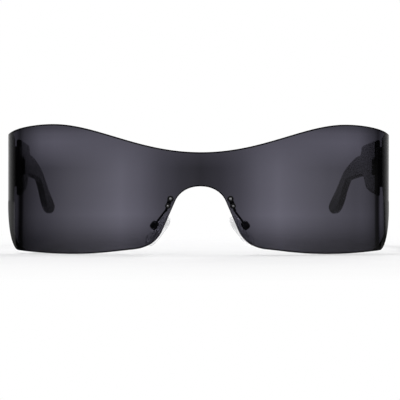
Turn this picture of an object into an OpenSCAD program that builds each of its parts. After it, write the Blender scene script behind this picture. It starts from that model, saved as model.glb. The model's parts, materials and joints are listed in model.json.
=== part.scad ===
// Shield sunglasses: one wrap-round lens carried by two hinged temples, with rocking nose pads.
// X runs across the face, Y from the front of the lens back to the ears, Z up.
// The temples are modelled open. Right is +X, the right as seen from the front.
// Each right-hand piece is mirrored to make the left-hand one.

/* [Lens] */
// Width over the outer sides of the lens
lens_w = 150; // [140:1:165]
// Height from the lowest to the highest edge
lens_h = 50; // [46:0.5:56]
// Thickness of the lens sheet
lens_t = 1.8; // [1.4:0.1:2.2]
// Outer radius of the front curve, seen from above
lens_r = 150; // [135:1:180]
// Outer radius of the bend at each side
bend_r = 10; // [9:0.5:12]
// Depth of the straight side behind each bend
return_d = 4; // [3.6:0.1:6]
// Drop of the top edge at the middle, below its two peaks
brow_dip = 11; // [7:0.5:14]
// Distance from the middle to each peak of the top edge
peak_x = 57; // [50:1:62]
// Drop of the top edge from a peak to the outer side
side_drop = 3.6; // [1:0.1:6]
// Further drop of the top edge along the straight side
return_drop = 1.2; // [0:0.1:2]
// Distance from the middle to each lowest point of the bottom edge
lobe_x = 50; // [44:1:56]
// Rise of the bottom edge from a lowest point to the outer side
lobe_rise = 1.9; // [0:0.1:3]
// Height of the swept lower corner at the rear edge
sweep_h = 31; // [29:0.5:31.5]
// Depth of the swept lower corner, forwards from the rear edge
sweep_d = 13.7; // [11:0.1:15]

/* [Nose notch] */
// Height of the top of the notch
notch_h = 26; // [24:0.5:28]
// Half width where the straight legs of the notch start
notch_arch_w = 9.8; // [9:0.1:10.4]
// Height where the straight legs of the notch start
notch_arch_z = 20; // [18:0.5:21]
// Half width where the legs start to flare out
notch_leg_w = 13.9; // [13:0.1:14.6]
// Height where the legs start to flare out
notch_leg_z = 10.6; // [9:0.1:12]
// Half width where the flare meets the bottom edge
notch_foot_w = 26.8; // [24:0.1:30]
// Height where the flare meets the bottom edge
notch_foot_z = 1.8; // [1:0.1:2.6]

/* [End pieces] */
// Thickness of an end piece, from the lens side to its inner face
end_t = 3.3; // [3:0.1:3.8]
// Depth of an end piece, front to back
end_d = 9.6; // [9:0.1:10.4]
// Height of an end piece
end_h = 15.8; // [15:0.1:18]
// Corner radius of an end piece, seen from the side
end_corner_r = 2.6; // [1.5:0.1:3.5]
// Rounding of the top and bottom of an end piece, seen from the front
end_edge_r = 1.2; // [0.6:0.1:1.4]
// Distance of each lens screw from the height of the hinge
end_screw_z = 5.4; // [5.2:0.1:5.8]
// Radius of a lens screw's shank
end_screw_r = 0.6; // [0.5:0.05:0.7]
// Radius of a lens screw's countersunk head
end_head_r = 1.15; // [1:0.05:1.3]
// Depth of a lens screw's countersunk head
end_head_h = 0.55; // [0.4:0.05:0.7]
// Length of a lens screw
end_screw_l = 4; // [3.4:0.1:4.3]

/* [Hinges] */
// Height of the middle of a hinge
hinge_z = 33.8; // [33:0.1:35]
// Distance of the hinge axis inside the inner faces of end piece and temple
hinge_in = 0.3; // [0.2:0.05:0.5]
// Outer radius of a hinge barrel
barrel_r = 1.35; // [1.2:0.05:1.5]
// Height of one hinge barrel
barrel_h = 1.95; // [1.7:0.05:2.2]
// Gap between two barrels
barrel_gap = 0.08; // [0.05:0.01:0.15]
// Radius of the hinge screw's shank
pin_r = 0.6; // [0.5:0.05:0.7]
// Radius of the hinge screw's head
pin_head_r = 1.2; // [1:0.05:1.3]
// Height of the hinge screw's head
pin_head_h = 0.7; // [0.5:0.05:0.9]
// Radial running clearance of the hinge screw
pin_gap = 0.04; // [0.02:0.01:0.08]
// Clearance between a barrel and the pocket round it
pocket_gap = 0.25; // [0.2:0.05:0.4]
// Thickness of a hinge leaf
leaf_t = 0.8; // [0.6:0.05:1]
// Length of the leaf on the end piece
front_leaf_l = 6.6; // [6:0.1:7]
// Length of the leaf on the temple
temple_leaf_l = 9.5; // [8:0.1:12]
// Radius of a leaf screw's shank
leaf_screw_r = 0.5; // [0.4:0.05:0.6]
// Radius of a leaf screw's head
leaf_head_r = 0.85; // [0.7:0.05:1]
// Height of a leaf screw's head
leaf_head_h = 0.3; // [0.2:0.05:0.4]
// Length of a leaf screw's shank
leaf_screw_l = 2.2; // [1.8:0.1:2.4]

/* [Temples] */
// Length of a temple from its butt to the end of its tip
temple_l = 131; // [124:1:138]
// Height of a temple at its butt
temple_h = 22; // [20:0.5:24]
// Height of the lower edge of a temple at its butt
temple_z = 22.5; // [21.5:0.1:24]
// Thickness of a temple at its butt
temple_t = 2.8; // [2.6:0.1:3.2]
// Distance of a temple's butt behind the hinge axis
butt_in = 0.3; // [0.2:0.05:0.5]
// Gap between the open temple's butt and the end piece
butt_gap = 0.1; // [0.05:0.05:0.3]
// Length of the straight front part of a temple, seen from above
straight_l = 50; // [44:1:58]
// Inner radius of the inward bow of the rear part
bow_r = 520; // [450:10:700]
// How much smaller the outer radius of the bow is, which thins the tip
bow_thinning = 30; // [10:5:50]
// Width of the stepped land along the butt, on the inner face
land_w = 2.8; // [2:0.1:3.5]
// Depth of the stepped land
land_t = 0.4; // [0.2:0.05:0.6]

/* [Nose pads] */
// Distance of the upper rivet from the middle
rivet_x = 11.4; // [11:0.1:12]
// Height of the upper rivet
rivet_z = 21.2; // [20:0.1:22]
// Spacing of the two rivets
rivet_gap = 2.9; // [2.6:0.1:3.2]
// Lean of the line of rivets from upright, in degrees
rivet_lean = 21; // [15:1:25]
// Radius of a rivet's shank
rivet_r = 0.4; // [0.35:0.05:0.45]
// Radius of a rivet's head, behind the bracket
rivet_head_r = 0.95; // [0.8:0.05:1]
// Height of a rivet's head
rivet_head_h = 0.35; // [0.25:0.05:0.4]
// Radius of the upper rivet's closed end, in front of the lens
rivet_end_r = 0.55; // [0.5:0.05:0.6]
// Radius of the lower rivet's closed end
low_end_r = 0.45; // [0.45:0.05:0.5]
// Height of a rivet's closed end
rivet_end_h = 0.12; // [0.08:0.01:0.14]
// Radius of the sleeve of the bush round a rivet, in the hole of the lens
bush_r = 0.65; // [0.6:0.05:0.7]
// Radius of the upper bush's flange
bush_head_r = 1.05; // [0.95:0.05:1.1]
// Radius of the lower bush's flange
low_head_r = 0.88; // [0.8:0.02:0.92]
// Height of a bush's flange
bush_head_h = 0.25; // [0.2:0.01:0.28]
// Thickness of the bracket plate
bracket_t = 0.7; // [0.5:0.05:0.9]
// Half width of the bracket plate at the upper rivet
bracket_r = 1.2; // [1.1:0.05:1.4]
// Half width of the bracket plate at the lower rivet
low_bracket_r = 1; // [1:0.05:1.1]
// Half width of the bracket plate's neck
neck_half_w = 0.55; // [0.5:0.05:0.7]
// Radius of the arm's wire
arm_r = 0.4; // [0.35:0.05:0.45]
// Radius of the arm's elbow
elbow_r = 1.6; // [1.2:0.1:2]
// Depth of the pad's pin behind the front of the lens
pad_depth = 8.8; // [8:0.1:10]
// Drop of the arm from its root to the pad's pin, along its slope
arm_drop = 7.3; // [6.9:0.1:7.9]
// Slope of a pad below level, seen from the front, in degrees
pad_slope = 52.6; // [48:0.2:56]
// Turn of a pad's face towards the wearer, in degrees
pad_splay = 25; // [18:1:30]
// Length of a pad
pad_l = 14; // [12:0.5:15]
// Width of a pad
pad_w = 7.6; // [6.5:0.1:8.5]
// Thickness of a pad at its crown
pad_t = 2.4; // [2:0.1:2.8]
// Radius of the crown of a pad
pad_crown_r = 17; // [15:1:24]
// Offset of a pad's middle below its pin, along the pad
pad_offset = 0.9; // [0:0.1:1.5]
// Outer length of the pad box
box_l = 3.4; // [3.2:0.1:4]
// Outer width of the pad box
box_w = 2.9; // [2.7:0.1:3.3]
// Outer height of the pad box
box_h = 2.4; // [2.2:0.1:2.8]
// Wall of the pad box at its ends and floor
box_wall = 0.4; // [0.3:0.05:0.5]
// Thickness of the tongue on the pad core
tongue_t = 0.9; // [0.7:0.05:1]
// Radius of the tongue round the pad's pin
tongue_r = 0.8; // [0.7:0.05:0.9]
// Side clearance of the tongue in the pad box
tongue_gap = 0.12; // [0.08:0.01:0.2]
// Radius of the pad's pin
pad_pin_r = 0.4; // [0.35:0.05:0.45]
// Gap between the pad box and the back of the pad
pad_gap = 0.8; // [0.7:0.1:1.2]
// Thickness of the pad core's plate
core_t = 0.6; // [0.4:0.05:0.8]

/* [Hidden] */
$fn = 96;

// Colours: the lens, the black pieces, bright metal and the clear pads
lens_tint = [0.27, 0.27, 0.31, 0.55];
black = [0.05, 0.05, 0.06];
steel = [0.7, 0.71, 0.74];
clear = [0.86, 0.88, 0.9, 0.6];

// Length by which every cut runs past the solid that it cuts
over = 1;
// Clearance between parts that seat on each other on a curve
seat_gap = 0.02;
// Sides of the largest circles
fine_fn = 360;
// Points on each curved stretch of an outline
curve_n = 8;

half_w = lens_w / 2;
// Places front to back are counted from the hinge axis and moved by mid_y when a piece is drawn
rear_y = butt_in - butt_gap;
bend_y = rear_y - return_d;
bend_x = half_w - bend_r;
arc_y = bend_y + sqrt(pow(lens_r - bend_r, 2) - pow(bend_x, 2));
front_y = arc_y - lens_r;
turn = asin(bend_x / (lens_r - bend_r));
tip_y = butt_in + temple_l;
mid_y = (front_y + tip_y) / 2;
inner_x = half_w - lens_t - end_t;
hinge_x = inner_x - hinge_in;
stack_h = 3 * barrel_h + 2 * barrel_gap;
stack_z = hinge_z - stack_h / 2;
bore_r = pin_r + pin_gap;

// Outline of the lens in front view: control points of cubic curves, from the middle outwards
brow_flat_share = 0.42;
peak_flat_share = 0.3;
side_flat_shares = [0.44, 0.86, 0.42];
lobe_flat_shares = [0.33, 0.6];
notch_arch_shares = [0.57, 0.88, 0.5];
notch_flare_shares = [0.11, 0.43, 0.32, 0.06];
sweep_shares = [[0, 0], [0.29, 0.01], [0.51, 0.47], [1, 1]];

function bezier(p) = [for (i = [0:curve_n - 1]) let (t = i / curve_n, u = 1 - t)
    u * u * u * p[0] + 3 * u * u * t * p[1] + 3 * u * t * t * p[2] + t * t * t * p[3]];

brow_z = lens_h - brow_dip;
side_w = half_w - peak_x;
brow_curve = bezier([[0, brow_z], [peak_x * brow_flat_share, brow_z],
    [peak_x * (1 - peak_flat_share), lens_h], [peak_x, lens_h]]);
side_curve = bezier([[peak_x, lens_h], [peak_x + side_w * side_flat_shares[0], lens_h],
    [peak_x + side_w * side_flat_shares[1], lens_h - side_drop * side_flat_shares[2]],
    [half_w, lens_h - side_drop]]);
lobe_out = half_w + over - lobe_x;
outer_curve = bezier([[half_w + over, lobe_rise], [half_w + over - lobe_out / 3, lobe_rise / 3],
    [lobe_x + lobe_out / 3, 0], [lobe_x, 0]]);
lobe_run = lobe_x - notch_foot_w;
lobe_curve = bezier([[lobe_x, 0], [lobe_x - lobe_run * lobe_flat_shares[0], 0],
    [lobe_x - lobe_run * lobe_flat_shares[1], notch_foot_z * lobe_flat_shares[0]],
    [notch_foot_w, notch_foot_z]]);
foot_run = notch_foot_w - notch_leg_w;
leg_drop = notch_leg_z - notch_foot_z;
flare_curve = bezier([[notch_foot_w, notch_foot_z],
    [notch_foot_w - foot_run * (1 - notch_flare_shares[2]), notch_foot_z + leg_drop * notch_flare_shares[3]],
    [notch_leg_w + foot_run * notch_flare_shares[0], notch_foot_z + leg_drop * (1 - notch_flare_shares[1])],
    [notch_leg_w, notch_leg_z]]);
arch_rise = notch_h - notch_arch_z;
arch_curve = bezier([[notch_arch_w, notch_arch_z],
    [notch_arch_w * notch_arch_shares[1], notch_arch_z + arch_rise * notch_arch_shares[2]],
    [notch_arch_w * notch_arch_shares[0], notch_h], [0, notch_h]]);

half_outline = concat(brow_curve, side_curve,
    [[half_w, lens_h - side_drop], [half_w + over, lens_h - side_drop]],
    outer_curve, lobe_curve, flare_curve, arch_curve);
n_half = len(half_outline);
lens_outline = concat(half_outline, [[0, notch_h]],
    [for (i = [n_half - 1:-1:1]) [-half_outline[i][0], half_outline[i][1]]]);

// Side view of the lower corner, cut away behind a long sweep
sweep_curve = bezier([for (s = sweep_shares) [rear_y - sweep_d * (1 - s[0]), sweep_h * s[1]]]);
sweep_outline = concat([[rear_y - sweep_d, -over]], sweep_curve,
    [[rear_y, sweep_h], [rear_y + over, sweep_h + over], [rear_y + over, -over]]);

// Outline of a temple in side view, as shares of its length and of its height at the butt
temple_top_shares = [[0, 1], [0.2, 0.98], [0.36, 0.952], [0.382, 0.925], [0.393, 0.85], [0.42, 0.79],
    [0.53, 0.76],
    [0.61, 0.7], [0.67, 0.635], [0.73, 0.555], [0.78, 0.46], [0.83, 0.32], [0.89, 0.13], [0.96, -0.07]];
temple_tip_shares = [[0.992, -0.18], [1, -0.24], [0.992, -0.32], [0.97, -0.372], [0.94, -0.385]];
temple_bottom_shares = [[0.9, -0.35], [0.862, -0.26], [0.826, -0.12], [0.785, 0.08], [0.745, 0.22],
    [0.71, 0.3], [0.6, 0.345], [0.45, 0.375], [0.375, 0.385], [0.335, 0.35], [0.305, 0.28],
    [0.27, 0.165], [0.235, 0.11], [0.15, 0.06], [0, 0]];
temple_shares = concat(temple_top_shares, temple_tip_shares, temple_bottom_shares);

// A smooth curve through points, four steps to a span
function spline_at(a, b, c, d, t) = b + t * (c - a) / 2
    + t * t * (a - 2.5 * b + 2 * c - d / 2) + t * t * t * (3 * (b - c) + d - a) / 2;
function clamp(i, n) = max(0, min(n - 1, i));
function spline(p, steps) = concat([for (i = [0:len(p) - 2], k = [0:steps - 1])
    spline_at(p[clamp(i - 1, len(p))], p[i], p[i + 1], p[clamp(i + 2, len(p))], k / steps)],
    [p[len(p) - 1]]);
spline_steps = 3;
temple_outline = [for (s = spline(temple_shares, spline_steps))
    [min(temple_l, s[0] * temple_l), temple_z + s[1] * temple_h]];

// Places of the rivets and of the arm's root, from the middle of the lens
function down_line(d) = [rivet_x + d * sin(rivet_lean), rivet_z - d * cos(rivet_lean)];
rivet_ds = [0, rivet_gap];
rivet_end_rs = [rivet_end_r, low_end_r];
bush_head_rs = [bush_head_r, low_head_r];
root_share = 1.6;
// Half width of the bracket plate between its round places, as a share of theirs
waist_share = 0.85;
arm_root = down_line(rivet_gap * root_share);
pad_x = arm_root[0] + arm_drop * cos(pad_slope);
pad_z = arm_root[1] - arm_drop * sin(pad_slope);
pad_y = front_y + pad_depth;
bracket_in_r = lens_r - lens_t - seat_gap - bracket_t;
arm_y = arc_y - sqrt(pow(bracket_in_r, 2) - pow(arm_root[0], 2));
box_top = tongue_r + tongue_gap + box_wall;
box_open = box_h - box_top;
pad_back = box_open + pad_gap;

module right() {
    translate([0, -mid_y, 0]) children();
}

module left() {
    mirror([1, 0, 0]) right() children();
}

// A rectangle with round corners, exact at each corner
module round_rect(w, h, r) {
    translate([r, 0]) square([w - 2 * r, h]);
    translate([0, r]) square([w, h - 2 * r]);
    for (x = [r, w - r], y = [r, h - r])
        translate([x, y]) circle(r);
}

// A bar with round ends along X
module stadium(l, r) {
    translate([-l / 2, -r]) square([l, 2 * r]);
    for (x = [-l / 2, l / 2])
        translate([x, 0]) circle(r);
}

// Extrude an outline drawn in front view, along Y
module across(y0, y1) {
    translate([0, y1, 0]) rotate([90, 0, 0]) linear_extrude(y1 - y0) children();
}

// Extrude an outline drawn in side view, along X
module along(x0, x1) {
    translate([x0, 0, 0]) rotate([90, 0, 90]) linear_extrude(x1 - x0) children();
}

// A cylinder along X from x0 to x1
module rod_x(x0, x1, r, r_end) {
    translate([x0, 0, 0]) rotate([0, 90, 0]) cylinder(h = x1 - x0, r1 = r, r2 = r_end);
}

// The lens
module ring(r, t) {
    difference() {
        circle(r, $fn = fine_fn);
        circle(r - t, $fn = fine_fn);
    }
}

// Plan of all that the lens wraps round, drawn in by t from its outer face
module lens_space(t) {
    far = 2 * lens_r;
    translate([0, arc_y]) intersection() {
        circle(lens_r - t, $fn = fine_fn);
        polygon([[0, 0], [-far * sin(turn), -far * cos(turn)], [far * sin(turn), -far * cos(turn)]]);
    }
    for (side = [-1, 1])
        translate([side * bend_x, bend_y]) circle(bend_r - t, $fn = fine_fn);
    translate([t - half_w, bend_y]) square([2 * (half_w - t), return_d + over]);
}

module lens_plan() {
    intersection() {
        difference() {
            lens_space(0);
            lens_space(lens_t);
        }
        translate([-half_w, front_y - over]) square([lens_w, rear_y - front_y + over]);
    }
}

module at_lens(p) {
    translate([0, arc_y, p[1]]) rotate([0, 0, asin(p[0] / lens_r)]) translate([0, -lens_r, 0])
        rotate([-90, 0, 0]) children();
}

module lens_side_cuts() {
    far_x = half_w + over;
    near_x = bend_x;
    along(near_x, far_x) polygon(sweep_outline);
    along(near_x, far_x) polygon([[bend_y, lens_h - side_drop],
        [rear_y + over, lens_h - side_drop - return_drop * (1 + over / return_d)],
        [rear_y + over, lens_h + over], [bend_y, lens_h + over]]);
    for (z = [-end_screw_z, end_screw_z])
        translate([0, end_screw_y, hinge_z + z]) {
            end_screw(pin_gap);
            rod_x(half_w, far_x, end_head_r + pin_gap, end_head_r + pin_gap);
        }
}

module nose_holes(r) {
    for (d = rivet_ds)
        at_lens(down_line(d)) translate([0, 0, -over]) cylinder(h = lens_t + 2 * over, r = r);
}

module lens() {
    color(lens_tint) translate([0, -mid_y, 0]) difference() {
        intersection() {
            linear_extrude(lens_h) lens_plan();
            across(front_y - over, rear_y + over) polygon(lens_outline);
        }
        lens_side_cuts();
        mirror([1, 0, 0]) lens_side_cuts();
        nose_holes(bush_r + seat_gap);
        mirror([1, 0, 0]) nose_holes(bush_r + seat_gap);
    }
}

// End pieces, which carry the hinges inside the ends of the lens
end_screw_y = rear_y - return_d / 2;

module end_plan() {
    intersection() {
        translate([inner_x, rear_y - end_d]) round_rect(end_t + over, end_d + over, end_edge_r);
        translate([inner_x, rear_y - end_d]) square([end_t, end_d]);
        union() {
            translate([bend_x, bend_y]) circle(bend_r - lens_t - seat_gap);
            translate([inner_x, bend_y]) square([end_t, return_d]);
        }
    }
}

module hinge_pocket(r) {
    translate([hinge_x, 0, stack_z - pocket_gap])
        cylinder(h = stack_h + pin_head_h + 3 * pocket_gap, r = r);
}

module leaf_pocket(y0, y1) {
    translate([inner_x - over, y0, stack_z]) cube([over + leaf_t, y1 - y0, stack_h]);
}

module end_piece() {
    end_z = hinge_z - end_h / 2;
    color(black) difference() {
        intersection() {
            translate([0, 0, end_z]) linear_extrude(end_h) end_plan();
            along(inner_x - over, half_w) translate([rear_y - end_d, end_z])
                round_rect(end_d + 2 * over, end_h, end_corner_r);
            across(rear_y - end_d - over, rear_y + over) translate([inner_x, end_z])
                round_rect(end_t, end_h, end_edge_r);
        }
        hinge_pocket(barrel_r + pocket_gap);
        leaf_pocket(-front_leaf_l, over);
        for (z = [-end_screw_z, end_screw_z])
            translate([0, end_screw_y, hinge_z + z])
                rod_x(half_w - end_screw_l - over / 2, half_w, end_screw_r + pin_gap, end_screw_r + pin_gap);
        for (y = front_leaf_screw_ys)
            translate([0, y, hinge_z]) rod_x(inner_x, inner_x + leaf_t + leaf_screw_l,
                leaf_screw_r + seat_gap, leaf_screw_r + seat_gap);
    }
}

// A countersunk screw through the side of the lens, into the end piece
module end_screw(gap) {
    rod_x(half_w - end_screw_l, half_w, end_screw_r + gap, end_screw_r + gap);
    rod_x(half_w - end_head_h, half_w, end_screw_r + gap, end_head_r + gap);
}

module end_screws() {
    color(steel) for (z = [-end_screw_z, end_screw_z])
        translate([0, end_screw_y, hinge_z + z]) end_screw(0);
}

// Hinge leaves with their barrels, and the screws
module barrel(n) {
    translate([hinge_x, 0, stack_z + n * (barrel_h + barrel_gap)]) difference() {
        cylinder(h = barrel_h, r = barrel_r);
        translate([0, 0, -over]) cylinder(h = barrel_h + 2 * over, r = bore_r);
    }
}

neck_r = barrel_r + pocket_gap;
front_leaf_screw_ys = [-neck_r - 1.6 * leaf_head_r, -front_leaf_l + 1.2 * leaf_head_r];
temple_leaf_screw_ys = [neck_r + 1.6 * leaf_head_r, temple_leaf_l - 1.6 * leaf_head_r];

module leaf_plate(y0, y1, z0, h) {
    translate([inner_x, y0, z0]) cube([leaf_t, y1 - y0, h]);
}

module leaf_holes(ys) {
    for (y = ys)
        translate([0, y, hinge_z]) rod_x(inner_x - over, inner_x + leaf_t + over, leaf_screw_r, leaf_screw_r);
}

module bore_cut() {
    translate([hinge_x, 0, stack_z - over]) cylinder(h = stack_h + 2 * over, r = bore_r);
}

module front_leaf() {
    color(black) difference() {
        union() {
            barrel(0);
            barrel(2);
            leaf_plate(-front_leaf_l, -neck_r, stack_z, stack_h);
            leaf_plate(-neck_r, 0, stack_z, barrel_h);
            leaf_plate(-neck_r, 0, stack_z + stack_h - barrel_h, barrel_h);
        }
        bore_cut();
        leaf_holes(front_leaf_screw_ys);
    }
}

module temple_leaf() {
    color(black) difference() {
        union() {
            barrel(1);
            leaf_plate(neck_r, temple_leaf_l, stack_z, stack_h);
            leaf_plate(0, neck_r, stack_z + barrel_h + barrel_gap, barrel_h);
        }
        bore_cut();
        leaf_holes(temple_leaf_screw_ys);
    }
}

module leaf_screws(ys) {
    color(steel) for (y = ys)
        translate([0, y, hinge_z]) {
            rod_x(inner_x, inner_x + leaf_screw_l, leaf_screw_r, leaf_screw_r);
            rod_x(inner_x - leaf_head_h, inner_x, leaf_head_r - leaf_head_h / 2, leaf_head_r);
        }
}

module hinge_screw() {
    slot_w = pin_head_r / 3;
    color(steel) translate([hinge_x, 0, stack_z]) difference() {
        union() {
            cylinder(h = stack_h, r = pin_r);
            translate([0, 0, stack_h]) cylinder(h = pin_head_h, r = pin_head_r);
        }
        translate([-pin_head_r - over, -slot_w / 2, stack_h + pin_head_h / 2])
            cube([2 * (pin_head_r + over), slot_w, pin_head_h]);
    }
}

// Temples: a deep plate that steps down to an arm, with a drooping tip
module temple_plan() {
    translate([inner_x, butt_in]) square([temple_t, straight_l]);
    intersection() {
        difference() {
            translate([inner_x + temple_t - bow_r + bow_thinning, butt_in + straight_l])
                circle(bow_r - bow_thinning, $fn = 2 * fine_fn);
            translate([inner_x - bow_r, butt_in + straight_l]) circle(bow_r, $fn = 2 * fine_fn);
        }
        translate([0, butt_in + straight_l]) square([half_w, temple_l - straight_l + over]);
    }
}

module temple() {
    color(black) difference() {
        intersection() {
            linear_extrude(temple_z + 2 * temple_h) temple_plan();
            along(0, half_w) translate([butt_in, 0]) polygon(temple_outline);
        }
        translate([inner_x - over, butt_in - over, 0])
            cube([over + land_t, over + land_w, temple_z + 2 * temple_h]);
        hinge_pocket(barrel_r + pocket_gap);
        leaf_pocket(0, temple_leaf_l);
        for (y = temple_leaf_screw_ys)
            translate([0, y, hinge_z]) rod_x(inner_x, inner_x + leaf_screw_l + over / 4,
                leaf_screw_r + seat_gap, leaf_screw_r + seat_gap);
    }
}

// Nose brackets: a riveted plate inside the lens and a bent wire arm
module bar_down(d0, d1, half) {
    translate(down_line(0)) rotate(rivet_lean) translate([-half, -d1]) square([2 * half, d1 - d0]);
}

module bracket_outline() {
    root_d = rivet_gap * root_share;
    translate(down_line(0)) circle(bracket_r);
    bar_down(0, rivet_gap, waist_share * low_bracket_r);
    translate(down_line(rivet_gap)) circle(low_bracket_r);
    bar_down(rivet_gap, root_d, waist_share * neck_half_w);
    translate(down_line(root_d)) circle(neck_half_w);
}

module bracket_plate() {
    difference() {
        intersection() {
            across(front_y, pad_y) bracket_outline();
            translate([0, arc_y, 0]) linear_extrude(lens_h) ring(lens_r - lens_t - seat_gap, bracket_t);
        }
        nose_holes(rivet_r + pin_gap);
    }
}

module arm() {
    arm_back = pad_y - arm_y;
    arm_run = arm_drop - elbow_r - box_l / 2;
    translate([arm_root[0], arm_y, arm_root[1]]) rotate([0, pad_slope, 0]) {
        translate([0, -bracket_t / 2, 0]) rotate([-90, 0, 0])
            cylinder(h = arm_back - elbow_r + bracket_t / 2, r = arm_r);
        translate([elbow_r, arm_back - elbow_r, 0]) rotate([0, 0, 90])
            rotate_extrude(angle = 90) translate([elbow_r, 0]) circle(arm_r);
        translate([elbow_r, arm_back, 0]) rod_x(0, arm_run, arm_r, arm_r);
    }
}

module nose_bracket() {
    color(black) {
        bracket_plate();
        arm();
    }
}

module nose_rivets() {
    grip = lens_t + bracket_t + 2 * seat_gap;
    color(steel) for (k = [0, 1])
        at_lens(down_line(rivet_ds[k])) {
            translate([0, 0, -bush_head_h]) cylinder(h = bush_head_h + grip, r = rivet_r);
            translate([0, 0, -bush_head_h - rivet_end_h])
                cylinder(h = rivet_end_h, r1 = rivet_end_rs[k] - rivet_end_h, r2 = rivet_end_rs[k]);
            translate([0, 0, grip])
                cylinder(h = rivet_head_h, r1 = rivet_head_r, r2 = rivet_head_r - rivet_head_h / 2);
        }
}

// Flanged bushes that line the rivet holes of the lens
module nose_bushes() {
    color(black) for (k = [0, 1])
        at_lens(down_line(rivet_ds[k])) difference() {
            union() {
                cylinder(h = lens_t, r = bush_r);
                translate([0, 0, -bush_head_h])
                    cylinder(h = bush_head_h, r1 = bush_head_rs[k] - bush_head_h / 2, r2 = bush_head_rs[k]);
            }
            translate([0, 0, -over]) cylinder(h = lens_t + 2 * over, r = rivet_r + seat_gap);
        }
}

// Nose pads, drawn about the pad's pin: X along the pad, Y along the pin, the pad's face towards -Z
module at_pad() {
    translate([pad_x, pad_y, pad_z]) rotate([0, pad_slope, 0]) rotate([pad_splay, 0, 0]) children();
}

module pin_y(y0, y1, r) {
    translate([0, y1, 0]) rotate([90, 0, 0]) cylinder(h = y1 - y0, r = r);
}

module pad_box() {
    slot_w = tongue_t + 2 * tongue_gap;
    color(black) at_pad() difference() {
        translate([-box_l / 2, -box_w / 2, -box_open]) cube([box_l, box_w, box_h]);
        translate([-box_l / 2 + box_wall, -slot_w / 2, -box_open - over])
            cube([box_l - 2 * box_wall, slot_w, box_h + over - box_wall]);
        pin_y(-box_w, box_w, pad_pin_r + seat_gap);
    }
}

module pad_pin() {
    color(steel) at_pad() {
        pin_y(-box_w / 2, box_w / 2, pad_pin_r);
        pin_y(-box_w / 2 - box_wall, -box_w / 2, pad_pin_r + box_wall);
    }
}

module pad_core() {
    color(clear) at_pad() {
        difference() {
            union() {
                pin_y(-tongue_t / 2, tongue_t / 2, tongue_r);
                translate([-tongue_r, -tongue_t / 2, -pad_back]) cube([2 * tongue_r, tongue_t, pad_back]);
            }
            pin_y(-box_w, box_w, pad_pin_r + pin_gap);
        }
        translate([pad_offset, 0, -pad_back - core_t]) linear_extrude(core_t) stadium(pad_l / 3, pad_w / 5);
    }
}

module nose_pad() {
    end_r = pad_w / 2;
    color(clear) at_pad() translate([pad_offset, 0, -pad_back - pad_t]) difference() {
        intersection() {
            linear_extrude(pad_t) stadium(pad_l - pad_w, end_r);
            translate([0, 0, pad_crown_r]) sphere(pad_crown_r, $fn = 128);
        }
        translate([0, 0, pad_t - core_t]) linear_extrude(core_t + over) stadium(pad_l / 3, pad_w / 5);
    }
}

lens();
right() end_piece();  // end_piece_right
left() end_piece();  // end_piece_left
right() end_screws();  // end_screws_right
left() end_screws();  // end_screws_left
right() front_leaf();  // front_leaf_right
left() front_leaf();  // front_leaf_left
right() leaf_screws(front_leaf_screw_ys);  // front_leaf_screws_right
left() leaf_screws(front_leaf_screw_ys);  // front_leaf_screws_left
right() hinge_screw();  // hinge_screw_right
left() hinge_screw();  // hinge_screw_left
right() temple_leaf();  // temple_leaf_right
left() temple_leaf();  // temple_leaf_left
right() leaf_screws(temple_leaf_screw_ys);  // temple_leaf_screws_right
left() leaf_screws(temple_leaf_screw_ys);  // temple_leaf_screws_left
right() temple();  // temple_right
left() temple();  // temple_left
right() nose_bracket();  // nose_bracket_right
left() nose_bracket();  // nose_bracket_left
right() nose_rivets();  // nose_rivets_right
left() nose_rivets();  // nose_rivets_left
right() nose_bushes();  // nose_bushes_right
left() nose_bushes();  // nose_bushes_left
right() pad_box();  // pad_box_right
left() pad_box();  // pad_box_left
right() pad_pin();  // pad_pin_right
left() pad_pin();  // pad_pin_left
right() pad_core();  // pad_core_right
left() pad_core();  // pad_core_left
right() nose_pad();  // nose_pad_right
left() nose_pad();  // nose_pad_left
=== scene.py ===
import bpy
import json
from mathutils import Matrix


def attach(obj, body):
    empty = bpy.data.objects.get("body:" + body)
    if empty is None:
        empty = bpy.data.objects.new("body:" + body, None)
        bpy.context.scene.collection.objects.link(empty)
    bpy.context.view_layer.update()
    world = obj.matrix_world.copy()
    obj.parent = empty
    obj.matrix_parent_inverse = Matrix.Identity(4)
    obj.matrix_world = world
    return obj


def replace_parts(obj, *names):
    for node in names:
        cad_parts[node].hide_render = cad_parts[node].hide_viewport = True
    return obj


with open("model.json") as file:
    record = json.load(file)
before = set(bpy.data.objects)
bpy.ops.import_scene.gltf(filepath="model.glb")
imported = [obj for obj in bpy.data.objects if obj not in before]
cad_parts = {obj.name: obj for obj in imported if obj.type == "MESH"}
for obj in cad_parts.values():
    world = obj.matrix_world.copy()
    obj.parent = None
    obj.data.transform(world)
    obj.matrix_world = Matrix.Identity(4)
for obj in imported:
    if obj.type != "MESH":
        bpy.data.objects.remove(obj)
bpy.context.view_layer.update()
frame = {"nodes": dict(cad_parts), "record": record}

import json
import math

import bpy
import bmesh
import numpy as np
from mathutils import Matrix, Vector

NODES = frame["nodes"]
MM = 0.001
SIDES = (("right", 1), ("left", -1))

# Sizes of the part, in millimetres. Places front to back are counted from the hinge axis.
# The lens: width, height and thickness, radii of its front and bends, depth of its straight sides
LENS_W, LENS_H, LENS_T = 150.0, 50.0, 1.8
LENS_R, BEND_R, RETURN_D = 150.0, 10.0, 4.0
# Top edge: dip in the middle, place of the peaks, fall to the bends, and fall along the sides
BROW_DIP, PEAK_X, SIDE_DROP, RETURN_DROP = 11.0, 57.0, 3.6, 1.2
# Lower edge: place of the lowest point, rise at the bends, height and depth of the swept corners
LOBE_X, LOBE_RISE, SWEEP_H, SWEEP_D = 50.0, 1.9, 31.0, 13.7
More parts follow.
